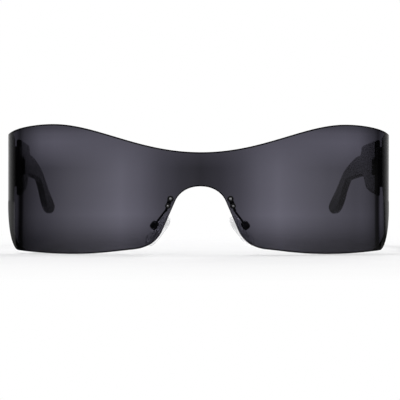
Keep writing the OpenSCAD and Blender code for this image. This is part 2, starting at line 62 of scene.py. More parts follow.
# Notch: its top, then half width and height of its arch, legs and feet
NOTCH_H, ARCH_W, ARCH_Z = 26.0, 9.8, 20.0
LEG_W, LEG_Z, FOOT_W, FOOT_Z = 13.9, 10.6, 26.8, 1.8
# Half its width, its rear end, the middles of its bends and of its front curve, the front of that
# curve, and how far it turns to each side
HALF_W = LENS_W / 2
REAR_Y = 0.2
BEND_Y = REAR_Y - RETURN_D
BEND_X = HALF_W - BEND_R
ARC_Y = BEND_Y + math.sqrt((LENS_R - BEND_R) ** 2 - BEND_X ** 2)
FRONT_Y = ARC_Y - LENS_R
TURN = math.asin(BEND_X / (LENS_R - BEND_R))
# Front end and length of the temples, thickness of the end pieces, and the hinge axis: how far
# inside their inner face it is, and how high its middle
BUTT_Y, TEMPLE_L = 0.3, 131.0
END_T = 3.3
HINGE_IN, HINGE_Z = 0.3, 33.8
# The whole part's middle, the inner face of end pieces and temples, and the hinge axis
MID_Y = (FRONT_Y + BUTT_Y + TEMPLE_L) / 2
INNER_X = HALF_W - LENS_T - END_T
HINGE_X = INNER_X - HINGE_IN


def place(x, y, z):
    """A point in metres in the part's frame, from millimetres, with y from the hinge axis."""
    return Vector((x * MM, (y - MID_Y) * MM, z * MM))


# ---------------------------------------------------------------- camera

CAMERA_AT = (-18.057, -804.5, 23.632)       # millimetres
CAMERA_TURN = (-1.4116, -0.223, 0.0738)     # pan, tilt and roll, in degrees
FOCAL_PX, PHOTO_PX, SENSOR = 1904.0, 400, 36.0
CLIP = (0.01, 20)                           # metres


def make_camera():
    """The photograph's view: 750 mm in front of the lens's sides, a little left of the middle."""
    pan, tilt, roll = (math.radians(a) for a in CAMERA_TURN)
    forward = Vector((-math.sin(pan) * math.cos(tilt), math.cos(pan) * math.cos(tilt),
                      math.sin(tilt)))
    side = Vector((math.cos(pan), math.sin(pan), 0))
    up = side.cross(forward)
    right = side * math.cos(roll) + up * math.sin(roll)
    top = up * math.cos(roll) - side * math.sin(roll)
    data = bpy.data.cameras.new("camera")
    data.sensor_width = SENSOR
    data.lens = SENSOR * FOCAL_PX / PHOTO_PX
    data.clip_start, data.clip_end = CLIP
    cam = bpy.data.objects.new("camera", data)
    bpy.context.scene.collection.objects.link(cam)
    turn = Matrix((right, top, -forward)).transposed().to_4x4()
    cam.matrix_world = Matrix.Translation(Vector(CAMERA_AT) * MM) @ turn
    bpy.context.scene.camera = cam


make_camera()


# ---------------------------------------------------------------- material helpers

def new_material(name):
    mat = bpy.data.materials.new(name)
    mat.use_nodes = True
    nt = mat.node_tree
    nt.nodes.clear()
    return mat, nt


def add(nt, kind, **values):
    n = nt.nodes.new(kind)
    for k, v in values.items():
        setattr(n, k, v)
    return n


def coords_of(nt):
    return add(nt, "ShaderNodeTexCoord").outputs["Object"]


def xyz(nt, vector):
    """The parts of a vector, by name."""
    parts = add(nt, "ShaderNodeSeparateXYZ")
    nt.links.new(vector, parts.inputs[0])
    return parts.outputs


def noise(nt, coords, scale, detail, rough):
    n = add(nt, "ShaderNodeTexNoise")
    n.inputs["Scale"].default_value = scale
    n.inputs["Detail"].default_value = detail
    n.inputs["Roughness"].default_value = rough
    nt.links.new(coords, n.inputs["Vector"])
    return n.outputs["Fac"]


def ramp(nt, fac, stops):
    """Values or colours along fac, which runs from 0 to 1. A stop is a place and what it gives."""
    r = add(nt, "ShaderNodeValToRGB")
    el = r.color_ramp.elements
    while len(el) < len(stops):
        el.new(0.5)
    for e, (p, c) in zip(el, stops):
        e.position = p
        e.color = (*c, 1) if isinstance(c, tuple) else (c, c, c, 1)
    nt.links.new(fac, r.inputs["Fac"])
    return r.outputs["Color"]


def between(nt, pattern, low, high, span=(0.3, 0.7)):
    """What a noise gives, from low to high over the part of its range that it mostly keeps to."""
    return ramp(nt, pattern, [(span[0], low), (span[1], high)])


def math_node(nt, op, a, b=None, clamp=False):
    m = add(nt, "ShaderNodeMath", operation=op, use_clamp=clamp)
    for i, v in enumerate((a, b)):
        if v is None:
            continue
        if isinstance(v, (int, float)):
            m.inputs[i].default_value = v
        else:
            nt.links.new(v, m.inputs[i])
    return m.outputs[0]


def from_middle(nt, value, gain=0.5):
    """A signed value as a place along a ramp, with 0 in the ramp's middle."""
    return math_node(nt, "ADD", math_node(nt, "MULTIPLY", value, gain), 0.5)


def mix_colour(nt, fac, a, b, blend="MIX"):
    m = add(nt, "ShaderNodeMix", data_type="RGBA", blend_type=blend)
    for sock, v in ((m.inputs[0], fac), (m.inputs[6], a), (m.inputs[7], b)):
        if isinstance(v, (int, float)):
            sock.default_value = v
        elif isinstance(v, tuple):
            sock.default_value = (*v, 1)
        else:
            nt.links.new(v, sock)
    return m.outputs[2]


def mix_shader(nt, fac, a, b):
    m = add(nt, "ShaderNodeMixShader")
    for i, v in enumerate((fac, a, b)):
        nt.links.new(v, m.inputs[i])
    return m.outputs[0]


def bump(nt, height, strength, distance):
    b = add(nt, "ShaderNodeBump")
    b.inputs["Strength"].default_value = strength
    b.inputs["Distance"].default_value = distance
    nt.links.new(height, b.inputs["Height"])
    return b.outputs["Normal"]


def edge_mask(nt):
    """1 on worn edges, 0 on flat faces."""
    g = add(nt, "ShaderNodeNewGeometry")
    return ramp(nt, g.outputs["Pointiness"], [(0.52, 0.0), (0.6, 1.0)])


def let_lamps_through(nt, shader, tint):
    """Mixes in a clear shader for shadow rays only, so that lamps light what is behind."""
    path = add(nt, "ShaderNodeLightPath")
    clear = add(nt, "ShaderNodeBsdfTransparent")
    clear.inputs["Color"].default_value = (*tint, 1)
    return mix_shader(nt, path.outputs["Is Shadow Ray"], shader, clear.outputs[0])


def output(nt, surface):
    out = add(nt, "ShaderNodeOutputMaterial")
    nt.links.new(surface, out.inputs["Surface"])
    return out


# ---------------------------------------------------------------- materials

# Heights of the finest relief, in metres
GRAIN_DEPTH, MARK_DEPTH = 0.00002, 0.00001
# How far patches of plastic differ in colour and roughness, as shares
COLOUR_SPREAD, ROUGH_SPREAD = (0.82, 1.22), (0.85, 1.18)
# The same for clear plastic's cloudy places: its darkest colour, roughest place and clearest body
CLOUD_COLOUR, CLOUD_ROUGH, CLOUD_BODY = 0.94, 1.8, 0.9
# How much finer turning marks are along Z than around it
MARK_STRETCH = (1, 1, 14)
IOR_LENS, IOR_CLEAR = 1.5, 1.41


def plastic(name, colour, edge, rough, grain, grain_scale, metal=0.0, gloss=0.5, rim=None):
    """A moulded or plated surface: patches of colour and roughness, a fine grain, paler edges.
    rim is the gloss of rims that don't face along X, where they differ from the flat faces."""
    mat, nt = new_material(name)
    co = coords_of(nt)
    patches = noise(nt, co, scale=60.0, detail=5.0, rough=0.55)
    fine = noise(nt, co, scale=grain_scale, detail=3.0, rough=0.6)
    darker, paler = (tuple(min(1.0, c * k) for c in colour) for k in COLOUR_SPREAD)
    base = mix_colour(nt, edge_mask(nt), between(nt, patches, darker, paler), edge)
    smoother, rougher = (rough * k for k in ROUGH_SPREAD)
    roughness = between(nt, patches, smoother, rougher, span=(0.25, 0.75))
    b = add(nt, "ShaderNodeBsdfPrincipled")
    nt.links.new(base, b.inputs["Base Color"])
    nt.links.new(roughness, b.inputs["Roughness"])
    b.inputs["Metallic"].default_value = metal
    b.inputs["Specular IOR Level"].default_value = gloss
    if rim:
        normal = add(nt, "ShaderNodeTexCoord").outputs["Normal"]
        flat = math_node(nt, "ABSOLUTE", xyz(nt, normal)["X"])
        nt.links.new(ramp(nt, flat, [(0.88, rim), (0.98, gloss)]), b.inputs["Specular IOR Level"])
    nt.links.new(bump(nt, fine, grain, GRAIN_DEPTH), b.inputs["Normal"])
    output(nt, b.outputs[0])
    return mat


def steel_material(name, low, high):
    """Turned steel with fine marks, between two greys that are faintly blue."""
    mat, nt = new_material(name)
    co = coords_of(nt)
    stretch = add(nt, "ShaderNodeMapping")
    stretch.inputs["Scale"].default_value = MARK_STRETCH
    nt.links.new(co, stretch.inputs["Vector"])
    marks = noise(nt, stretch.outputs[0], scale=900.0, detail=3.0, rough=0.6)
    patches = noise(nt, co, scale=240.0, detail=4.0, rough=0.5)
    dark, pale = ((v, v, v * 1.03) for v in (low, high))
    b = add(nt, "ShaderNodeBsdfPrincipled")
    nt.links.new(between(nt, patches, dark, pale), b.inputs["Base Color"])
    nt.links.new(between(nt, marks, 0.36, 0.5), b.inputs["Roughness"])
    b.inputs["Metallic"].default_value = 1.0
    nt.links.new(bump(nt, marks, 0.15, MARK_DEPTH), b.inputs["Normal"])
    output(nt, b.outputs[0])
    return mat


def scaled(stops, k):
    return [(p, v * k) for p, v in stops]


# How clear the lens is, as shares, with painted shade in it: the soft shadows that a backdrop
# behind the lens would show through it, and dark and pale bands of reflection in its bends, are
# painted into its clarity.
# The first and second tables run from its middle to its side, for its lower part and its top; the
# third runs from its lowest edge up
LENS_CLEAR, TOP_CLEAR = 0.46, 0.96
LENS_PAINTED_SHADE_X = scaled([
    (0.0, 0.2), (0.1, 0.3), (0.2, 0.5), (0.3, 0.82), (0.4, 1.0), (0.567, 0.72), (0.733, 0.48),
    (0.836, 0.33), (0.876, 0.23), (0.897, 0.165), (0.908, 0.13), (0.914, 0.04), (0.919, 0.015),
    (0.93, 0.015), (0.936, 0.1), (0.94, 0.2), (0.951, 0.22), (0.96, 0.13), (0.966, 0.03),
    (1.0, 0.008)], LENS_CLEAR)
LENS_TOP_PAINTED_SHADE_X = scaled(scaled([
    (0.0, 0.5), (0.2, 0.62), (0.35, 0.9), (0.5, 0.95), (0.65, 1.0), (0.75, 1.05), (0.823, 0.93),
    (0.855, 0.74), (0.876, 0.6), (0.897, 0.46), (0.908, 0.4), (0.919, 0.28), (0.93, 0.16),
    (0.94, 0.25), (0.951, 0.4), (0.963, 0.36), (0.98, 0.25), (1.0, 0.15)], LENS_CLEAR), TOP_CLEAR)
LENS_PAINTED_SHADE_Z = [
    (0.0, 0.35), (0.09, 0.42), (0.15, 0.6), (0.21, 0.8), (0.3, 1.0), (0.45, 0.9), (0.8, 0.84),
    (0.87, 0.79), (0.93, 0.7), (0.975, 0.48)]
# Where the lower part's painted shades give way to the top's
TOP_FROM_Z = [(0.66, 0.0), (0.86, 1.0)]
# Painted light: the lower part is made clearer towards its right end, by up to the gain below, for
# brighter light behind it there. The table gives shares of that gain
PAINTED_RIGHT_LIGHT_GAIN = 2.0
LENS_PAINTED_RIGHT_LIGHT_X = [(0.66, 0.5), (0.8, 0.62), (0.92, 1.0)]
# How far the painted shades wander, as a share of the lens's size
DRIFT = 0.02
SMOKE, SMOKE_DENSITY = (0.236, 0.214, 0.369), 900.0
LAMPLIGHT_TINT = (0.5, 0.49, 0.53)


def lens_material():
    """Smoke polycarbonate with painted shade: clearest mid-lobe, darker to its sides and below,
    clearer at the right.
    """
    mat, nt = new_material("lens_smoke")
    co = coords_of(nt)
    parts = xyz(nt, co)
    streaks = noise(nt, co, scale=26.0, detail=2.0, rough=0.4)
    drift = math_node(nt, "MULTIPLY", math_node(nt, "SUBTRACT", streaks, 0.5), DRIFT)
    right = math_node(nt, "DIVIDE", parts["X"], HALF_W * MM)
    across = math_node(nt, "ADD", math_node(nt, "ABSOLUTE", right), drift)
    up = math_node(nt, "DIVIDE", parts["Z"], LENS_H * MM)
    # Painted shade and light in the base colour: darker to the sides, bends and bottom, clearer to
    # the right
    low = math_node(nt, "MULTIPLY", ramp(nt, across, LENS_PAINTED_SHADE_X), PAINTED_RIGHT_LIGHT_GAIN)
    low = math_node(nt, "MULTIPLY", low, ramp(nt, right, LENS_PAINTED_RIGHT_LIGHT_X))
    painted_shade_by_x = mix_colour(nt, ramp(nt, up, TOP_FROM_Z), low, ramp(nt, across, LENS_TOP_PAINTED_SHADE_X))
    painted_shade_by_z = ramp(nt, math_node(nt, "ADD", up, drift), LENS_PAINTED_SHADE_Z)
    wipes = noise(nt, co, scale=60.0, detail=3.0, rough=0.6)
    b = add(nt, "ShaderNodeBsdfPrincipled")
    nt.links.new(mix_colour(nt, 1.0, painted_shade_by_x, painted_shade_by_z, "MULTIPLY"), b.inputs["Base Color"])
    nt.links.new(between(nt, wipes, 0.004, 0.012), b.inputs["Roughness"])
    b.inputs["IOR"].default_value = IOR_LENS
    b.inputs["Transmission Weight"].default_value = 1.0
    out = output(nt, let_lamps_through(nt, b.outputs[0], LAMPLIGHT_TINT))
    vol = add(nt, "ShaderNodeVolumeAbsorption")
    vol.inputs["Color"].default_value = (*SMOKE, 1)
    vol.inputs["Density"].default_value = SMOKE_DENSITY
    nt.links.new(vol.outputs[0], out.inputs["Volume"])
    return mat


def lens_edge_material():
    """The cut edge of the lens, which looks black, also through the sheet."""
    mat, nt = new_material("lens_edge")
    marks = noise(nt, coords_of(nt), scale=700.0, detail=4.0, rough=0.6)
    b = add(nt, "ShaderNodeBsdfPrincipled")
    colour = between(nt, marks, (0.004, 0.004, 0.005), (0.011, 0.011, 0.013))
    nt.links.new(colour, b.inputs["Base Color"])
    nt.links.new(between(nt, marks, 0.3, 0.5), b.inputs["Roughness"])
    b.inputs["Specular IOR Level"].default_value = 0.0
    nt.links.new(bump(nt, marks, 0.2, GRAIN_DEPTH), b.inputs["Normal"])
    output(nt, b.outputs[0])
    return mat


def clear_material(name, colour, rough, body):
    """Clear silicone or hard plastic, faintly cloudy. body is how much of it shows at all."""
    mat, nt = new_material(name)
    cloud = noise(nt, coords_of(nt), scale=300.0, detail=3.0, rough=0.5)
    darker = tuple(c * CLOUD_COLOUR for c in colour)
    b = add(nt, "ShaderNodeBsdfPrincipled")
    nt.links.new(between(nt, cloud, darker, colour), b.inputs["Base Color"])
    nt.links.new(between(nt, cloud, rough, rough * CLOUD_ROUGH), b.inputs["Roughness"])
    b.inputs["IOR"].default_value = IOR_CLEAR
    b.inputs["Transmission Weight"].default_value = 0.97
    clear = add(nt, "ShaderNodeBsdfTransparent")
    clear.inputs["Color"].default_value = (0.97, 0.97, 0.975, 1)
    fac = between(nt, cloud, body * CLOUD_BODY, body)
    seen = mix_shader(nt, fac, clear.outputs[0], b.outputs[0])
    output(nt, let_lamps_through(nt, seen, (0.95, 0.95, 0.955)))
    return mat


MATERIALS = {
    "temple_plastic": plastic("temple_plastic", (0.014, 0.0125, 0.0125), (0.03, 0.028, 0.028),
                              rough=0.2, grain=0.08, grain_scale=2600.0, rim=0.9),
    "black_plastic": plastic("black_plastic", (0.005, 0.005, 0.0054), (0.014, 0.014, 0.015),
                             rough=0.46, grain=0.2, grain_scale=1800.0, gloss=0.18),
    "black_metal": plastic("black_metal", (0.007, 0.007, 0.0074), (0.04, 0.04, 0.042),
                           rough=0.34, grain=0.1, grain_scale=3000.0, metal=0.2, gloss=0.35),
    "steel": steel_material("steel", 0.63, 0.8),
    "lens_smoke": lens_material(),
    "silicone": clear_material("silicone", (0.93, 0.94, 0.96), rough=0.08, body=0.34),
    "pad_core": clear_material("pad_core", (0.9, 0.91, 0.93), rough=0.03, body=0.3),
}
LENS_EDGE = lens_edge_material()
# The screws of the leaves don't show through the lens in the photograph
DARK_STEEL = steel_material("dark_steel", 0.1, 0.16)

SLOTS = {s["node"]: s["material_slot"] for s in frame["record"]["subparts"]}
for name, obj in NODES.items():
    obj.data.materials.clear()
    obj.data.materials.append(DARK_STEEL if "leaf_screws" in name else MATERIALS[SLOTS[name]])


# ---------------------------------------------------------------- mesh helpers

def fresh_mesh(name, verts, faces):
    """A mesh whose faces all look outwards."""
    mesh = bpy.data.meshes.new(name)
    mesh.from_pydata([tuple(v) for v in verts], [], faces)
    mesh.validate()
    bm = bmesh.new()
    bm.from_mesh(mesh)
    bmesh.ops.recalc_face_normals(bm, faces=bm.faces)
    bm.to_mesh(mesh)
    bm.free()
    return mesh


def shade(mesh, angle):
    """Smooth, with sharp edges where faces meet at more than this angle in degrees."""
    mesh.shade_smooth()
    mesh.set_sharp_from_angle(angle=math.radians(angle))


def new_piece(name, verts, faces, mats, body, angle=35.0):
    """A piece that rides on a body. angle is shade's."""
    mesh = fresh_mesh(name, verts, faces)
    obj = bpy.data.objects.new(name, mesh)
    bpy.context.scene.collection.objects.link(obj)
    for m in mats:
        mesh.materials.append(m)
    shade(mesh, angle)
    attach(obj, body)
    return obj


def bezier(p):
    """49 points on a cubic curve, ends included."""
    t = np.linspace(0, 1, 49)[:, None]
    u = 1 - t
    p = np.array(p, float)
    return u ** 3 * p[0] + 3 * u * u * t * p[1] + 3 * u * t * t * p[2] + t ** 3 * p[3]


def spline(points, steps):
    """A smooth curve through points, with this many steps from each to the next."""
    p = np.array(points, float)
    n = len(p)
    out = []
    for i in range(n - 1):
        a, b, c, d = (p[min(max(j, 0), n - 1)] for j in (i - 1, i, i + 1, i + 2))
        for k in range(steps):
            t = k / steps
            out.append(b + t * (c - a) / 2 + t * t * (a - 2.5 * b + 2 * c - d / 2)
                       + t ** 3 * (3 * (b - c) + d - a) / 2)
    out.append(p[-1])
    return np.array(out)


# ---------------------------------------------------------------- the lens

def table_of(curves):
    """x and z of an outline made of curves, with x rising."""
    p = np.concatenate(curves)
    order = np.argsort(p[:, 0], kind="stable")
    return p[order, 0], p[order, 1]


# The edges of the right half, as curves whose handles are shares of each run
BROW_Z, SIDE_Z, SIDE_W = LENS_H - BROW_DIP, LENS_H - SIDE_DROP, HALF_W - PEAK_X
TOP = table_of([
    bezier([(0, BROW_Z), (PEAK_X * 0.42, BROW_Z), (PEAK_X * 0.7, LENS_H), (PEAK_X, LENS_H)]),
    bezier([(PEAK_X, LENS_H), (PEAK_X + SIDE_W * 0.44, LENS_H),
            (PEAK_X + SIDE_W * 0.86, LENS_H - SIDE_DROP * 0.42), (HALF_W, SIDE_Z)])])
# The lower edge's last curve runs on past the side
PAST_X = HALF_W + 1
LOBE_OUT, LOBE_RUN = PAST_X - LOBE_X, LOBE_X - FOOT_W
FOOT_RUN, LEG_DROP, ARCH_RISE = FOOT_W - LEG_W, LEG_Z - FOOT_Z, NOTCH_H - ARCH_Z
BOTTOM = table_of([
    bezier([(0, NOTCH_H), (ARCH_W * 0.57, NOTCH_H),
            (ARCH_W * 0.88, ARCH_Z + ARCH_RISE * 0.5), (ARCH_W, ARCH_Z)]),
    bezier([(LEG_W, LEG_Z), (LEG_W + FOOT_RUN * 0.11, FOOT_Z + LEG_DROP * 0.57),
            (FOOT_W - FOOT_RUN * 0.68, FOOT_Z + LEG_DROP * 0.06), (FOOT_W, FOOT_Z)]),
    bezier([(FOOT_W, FOOT_Z), (LOBE_X - LOBE_RUN * 0.6, FOOT_Z * 0.33),
            (LOBE_X - LOBE_RUN * 0.33, 0), (LOBE_X, 0)]),
    bezier([(LOBE_X, 0), (LOBE_X + LOBE_OUT / 3, 0),
            (PAST_X - LOBE_OUT / 3, LOBE_RISE / 3), (PAST_X, LOBE_RISE)])])
SWEEP = bezier([(REAR_Y - SWEEP_D * (1 - a), SWEEP_H * b)
                for a, b in ((0, 0), (0.29, 0.01), (0.51, 0.47), (1, 1))])


def lens_top(x, y):
    z = np.interp(abs(x), *TOP)
    fall = SIDE_Z - RETURN_DROP * max(0.0, (y - BEND_Y) / RETURN_D)
    return min(z, fall) if y > BEND_Y else z


def lens_bottom(x, y):
    z = np.interp(abs(x), *BOTTOM)
    if y > REAR_Y - SWEEP_D and abs(x) > BEND_X:
        z = max(z, np.interp(y, SWEEP[:, 0], SWEEP[:, 1]))
    return z


# The rounding of the cut edge: how far back into the sheet, and how far below its top, as shares of
# its radius. Where the sheet ends, the two roundings keep EDGE_ROOM of the way to its middle
EDGE_R, EDGE_ROOM = 0.5, 0.98
EDGE_ARC = [(0, 1), (0.134, 0.5), (0.5, 0.134), (1, 0)]
# Between these places the upper edge turns level from face to face
LEVEL_X = [BEND_X - 1, HALF_W - 0.5]
# Stations along the lens: start, end and step of each run of its front, then steps of the rest
FRONT_RUNS = [(0, 8.0, 1.0), (8.0, 15.0, 0.3), (15.0, 28.0, 0.8),
              (28.0, LENS_R * math.sin(TURN) - 0.5, 1.6)]
BEND_STEPS, RETURN_STEPS, LENS_ROWS = 28, 7, 28
LENS_ANGLE = 40.0


def lens_stations():
    """Points, outward directions and end rounding of the outer face, from middle to right rear."""
    out = []
    for x in [x for run in FRONT_RUNS for x in np.arange(*run)]:
        a = math.asin(x / LENS_R)
        out.append((x, ARC_Y - LENS_R * math.cos(a), math.sin(a), -math.cos(a), 0))
    for i in range(BEND_STEPS + 1):
        a = TURN + (math.pi / 2 - TURN) * i / BEND_STEPS
        out.append((BEND_X + BEND_R * math.sin(a), BEND_Y - BEND_R * math.cos(a),
                    math.sin(a), -math.cos(a), 0))
    flat = RETURN_D - EDGE_R
    for i in range(1, RETURN_STEPS):
        out.append((HALF_W, BEND_Y + flat * i / RETURN_STEPS, 1.0, 0.0, 0))
    for back, drop in EDGE_ARC:
        out.append((HALF_W, REAR_Y - EDGE_R * drop, 1.0, 0.0, EDGE_R * back))
    return out


def lens_column(x, y, nx, ny, start, way):
    """One face of the sheet from its lower to its upper edge, both rounded. start is how deep in
    the sheet the face lies here, and way is 1 for the outer face and -1 for the inner one."""
    depth = start if way > 0 else LENS_T - start
    r = min(EDGE_R, (LENS_T / 2 - depth) * EDGE_ROOM)
    level = float(np.interp(abs(x), LEVEL_X, [0, 1]))

    def at(t):
        return x - t * nx, y - t * ny

    def crest(px, py):
        own = lens_top(px, py)
        return own + (lens_top(x, y) - own) * level

    points = []
    for back, drop in reversed(EDGE_ARC):
        px, py = at(start + way * back * r)
        points.append((px, py, lens_bottom(px, py) + drop * EDGE_R))
    px, py = at(start)
    lo, hi = lens_bottom(px, py) + EDGE_R, crest(px, py) - EDGE_R
    points += [(px, py, lo + (hi - lo) * k / LENS_ROWS) for k in range(1, LENS_ROWS)]
    for back, drop in EDGE_ARC:
        px, py = at(start + way * back * r)
        points.append((px, py, crest(px, py) - drop * EDGE_R))
    return points


def make_lens():
    """The sheet, with a clear material on its faces and a black one on its cut edge."""
    right = lens_stations()
    stations = [(-x, y, -nx, ny, e) for x, y, nx, ny, e in right[:0:-1]] + right
    n_arc = len(EDGE_ARC)
    size = 2 * n_arc + LENS_ROWS - 1
    clear, black = 0, 1
    verts, faces, kinds = [], [], []
    for x, y, nx, ny, e in stations:
        verts += [place(*p) for p in lens_column(x, y, nx, ny, e, 1)]
        verts += [place(*p) for p in lens_column(x, y, nx, ny, LENS_T - e, -1)]
    for i in range(len(stations) - 1):
        a, b = 2 * size * i, 2 * size * (i + 1)
        for k in range(size - 1):
            for h in (0, size):
                faces.append((a + h + k, b + h + k, b + h + k + 1, a + h + k + 1))
                kinds.append(clear if n_arc - 1 <= k < size - n_arc else black)
        for k in (0, size - 1):
            faces.append((a + k, b + k, b + size + k, a + size + k))
            kinds.append(black)
    for i in (0, len(stations) - 1):
        a = 2 * size * i
        for k in range(size - 1):
            faces.append((a + k, a + k + 1, a + size + k + 1, a + size + k))
            kinds.append(black)
    obj = new_piece("lens_sheet", verts, faces, [MATERIALS["lens_smoke"], LENS_EDGE],
                    "front", LENS_ANGLE)
    edges = {}
    for f, kind in zip(obj.data.polygons, kinds):
        f.material_index = kind
        for key in f.edge_keys:
            edges.setdefault(key, set()).add(kind)
    for e in obj.data.edges:
        if len(edges[e.key]) > 1:
            e.use_edge_sharp = True
    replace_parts(obj, "lens")


make_lens()


# ---------------------------------------------------------------- the temples

# Height, lowest place and thickness of the plate, and how far the temple is straight
TEMPLE_H, TEMPLE_Z, TEMPLE_T, STRAIGHT_L = 22.0, 22.5, 2.8, 50.0
# Inward bow, how much sharper the outer face bows, and the land beside the hinge
BOW_R, BOW_THINNING, LAND_W, LAND_T = 520.0, 30.0, 2.8, 0.4
# The eased edge of a temple: distance in from the outline, and how far the face lies back there.
# It narrows where the temple is lower than RIM_ROOM
RIM_IN = [0, 0.03, 0.09, 0.18, 0.3, 0.5, 0.65, 0.85]
RIM_BACK = [0.66, 0.54, 0.46, 0.36, 0.24, 0.065, 0.012, 0]
RIM_ROOM, FACE_ROWS, TEMPLE_ANGLE = 4.0, 9, 40.0
# The outline, as shares of length and plate height
TEMPLE_TOP = [
    (0, 1), (0.2, 0.98), (0.36, 0.952), (0.382, 0.925), (0.393, 0.85), (0.42, 0.79), (0.53, 0.76),
    (0.61, 0.7), (0.67, 0.635), (0.73, 0.555), (0.78, 0.46), (0.83, 0.32), (0.89, 0.13),
    (0.96, -0.07)]
TEMPLE_TIP = [(0.992, -0.18), (1, -0.24), (0.992, -0.32), (0.97, -0.372), (0.94, -0.385)]
TEMPLE_BOTTOM = [
    (0.9, -0.35), (0.862, -0.26), (0.826, -0.12), (0.785, 0.08), (0.745, 0.22), (0.71, 0.3),
    (0.6, 0.345), (0.45, 0.375), (0.375, 0.385), (0.335, 0.35), (0.305, 0.28), (0.27, 0.165),
    (0.235, 0.11), (0.15, 0.06), (0, 0)]
OUTLINE = spline(TEMPLE_TOP + TEMPLE_TIP + TEMPLE_BOTTOM, 3)
OUTLINE = np.stack([np.minimum(OUTLINE[:, 0], 1) * TEMPLE_L,
                    TEMPLE_Z + OUTLINE[:, 1] * TEMPLE_H], axis=1)
TIP_I = int(np.argmax(OUTLINE[:, 0]))
# Stations along a temple: close at its start, where the plate ends, and at its tip
TEMPLE_START = [0, 0.04, 0.12, 0.25, 0.4, 0.6, 1.0, 2.0]
TEMPLE_RUNS = [(3.5, 30, 2.0), (30, 47, 1.0), (47, 56, 0.35), (56, 118, 1.5), (118, 128, 0.6)]
TEMPLE_END = [128, 128.5, 129, 129.4, 129.7, 130, 130.25, 130.45, 130.6, 130.72, 130.82, 130.9,
              130.96]
# The pocket of the hinge: the barrels' stack, its gap, the leaf, and room for the screw's head
STACK_H, BARREL_R, POCKET_GAP, LEAF_T, TEMPLE_LEAF_L = 6.01, 1.35, 0.25, 0.8, 9.5
HEAD_ROOM = 1.2
STACK_Z = HINGE_Z - STACK_H / 2
# How far cutters reach beyond the faces that they cut, and a height above everything
BEYOND, ABOVE = 1, 60


def outline_distance(p):
    """Distance of points from the closed outline of a temple."""
    a = OUTLINE
    ab = np.roll(OUTLINE, -1, axis=0) - a
    ap = p[:, None, :] - a[None]
    t = np.clip((ap * ab).sum(-1) / np.maximum((ab * ab).sum(-1), 1e-12), 0, 1)
    return np.sqrt(((ap - t[..., None] * ab) ** 2).sum(-1)).min(axis=1)


def bowed(s, r):
    """How far inwards a face of this radius has bowed at s."""
    u = max(0.0, s - STRAIGHT_L)
    return math.sqrt(r * r - u * u) - r


def temple_columns():
    """Stations along the temple, with the heights of the points at each."""
    stations = TEMPLE_START + [s for run in TEMPLE_RUNS for s in np.arange(*run)] + TEMPLE_END
    top, bottom = OUTLINE[:TIP_I + 1], OUTLINE[TIP_I:][::-1]
    columns = []
    for s in stations:
        lo = np.interp(s, bottom[:, 0], bottom[:, 1])
        hi = np.interp(s, top[:, 0], top[:, 1])
        k = min(1.0, (hi - lo) / RIM_ROOM)
        rim = [e * k for e in RIM_IN]
        face = list(np.linspace(lo + rim[-1], hi - rim[-1], FACE_ROWS + 1)[1:-1])
        columns.append([lo + e for e in rim] + face + [hi - e for e in reversed(rim)])
    return stations, columns


def make_temple(side, sign):
    """The temple's two bowed faces with their eased rims, with the hinge's pocket cut out."""
    stations, columns = temple_columns()
    rows, last = len(columns[0]), len(stations) - 1
    flat = np.array([(s, z) for s, zs in zip(stations, columns) for z in zs])
    back = np.interp(outline_distance(flat), RIM_IN, RIM_BACK)
    n = len(flat)
    verts = [place(sign * (INNER_X + e + bowed(s, BOW_R)), BUTT_Y + s, z)
             for (s, z), e in zip(flat, back)]
    verts += [place(sign * (INNER_X + TEMPLE_T - e + bowed(s, BOW_R - BOW_THINNING)),
                    BUTT_Y + s, z) for (s, z), e in zip(flat, back)]
    faces = []
    for i in range(last):
        for k in range(rows - 1):
            a = i * rows + k
            faces.append((a, a + 1, a + rows + 1, a + rows))
            faces.append((n + a, n + a + rows, n + a + rows + 1, n + a + 1))
        a = i * rows
        faces.append((a, a + rows, n + a + rows, n + a))
        a += rows - 1
        faces.append((a, n + a, n + a + rows, a + rows))
    for i in (0, last):
        for k in range(rows - 1):
            a = i * rows + k
            faces.append((a, n + a, n + a + 1, a + 1))
    obj = new_piece("temple_body_" + side, verts, faces, [MATERIALS["temple_plastic"]],
                    "temple_" + side, TEMPLE_ANGLE)
    cut_away(obj, temple_cutters(sign))
    shade(obj.data, TEMPLE_ANGLE)
    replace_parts(obj, "temple_" + side)


def box_cutter(sign, x0, x1, y0, y1, z0, z1):
    c = [place(sign * x, y, z) for x in (x0, x1) for y in (y0, y1) for z in (z0, z1)]
    f = [(0, 1, 3, 2), (4, 6, 7, 5), (0, 4, 5, 1), (2, 3, 7, 6), (0, 2, 6, 4), (1, 5, 7, 3)]
    return c, f


def rod_cutter(sign, x, y, r, z0, z1, n=48):
    turns = [2 * math.pi * i / n for i in range(n)]
    c = [place(sign * (x + r * math.cos(t)), y + r * math.sin(t), z)
         for z in (z0, z1) for t in turns]
    f = [tuple(range(n)), tuple(range(2 * n - 1, n - 1, -1))]
    f += [(i, (i + 1) % n, n + (i + 1) % n, n + i) for i in range(n)]
    return c, f


def temple_cutters(sign):
    """Room for the land, the leaf and the barrels."""
    y0, x0 = -BEYOND, INNER_X - BEYOND
    return [box_cutter(sign, x0, INNER_X + LAND_T, y0, BUTT_Y + LAND_W, 0, ABOVE),
            box_cutter(sign, x0, INNER_X + LEAF_T, y0, TEMPLE_LEAF_L, STACK_Z, STACK_Z + STACK_H),
            rod_cutter(sign, HINGE_X, 0, BARREL_R + POCKET_GAP, STACK_Z - POCKET_GAP,
                       STACK_Z + STACK_H + HEAD_ROOM)]


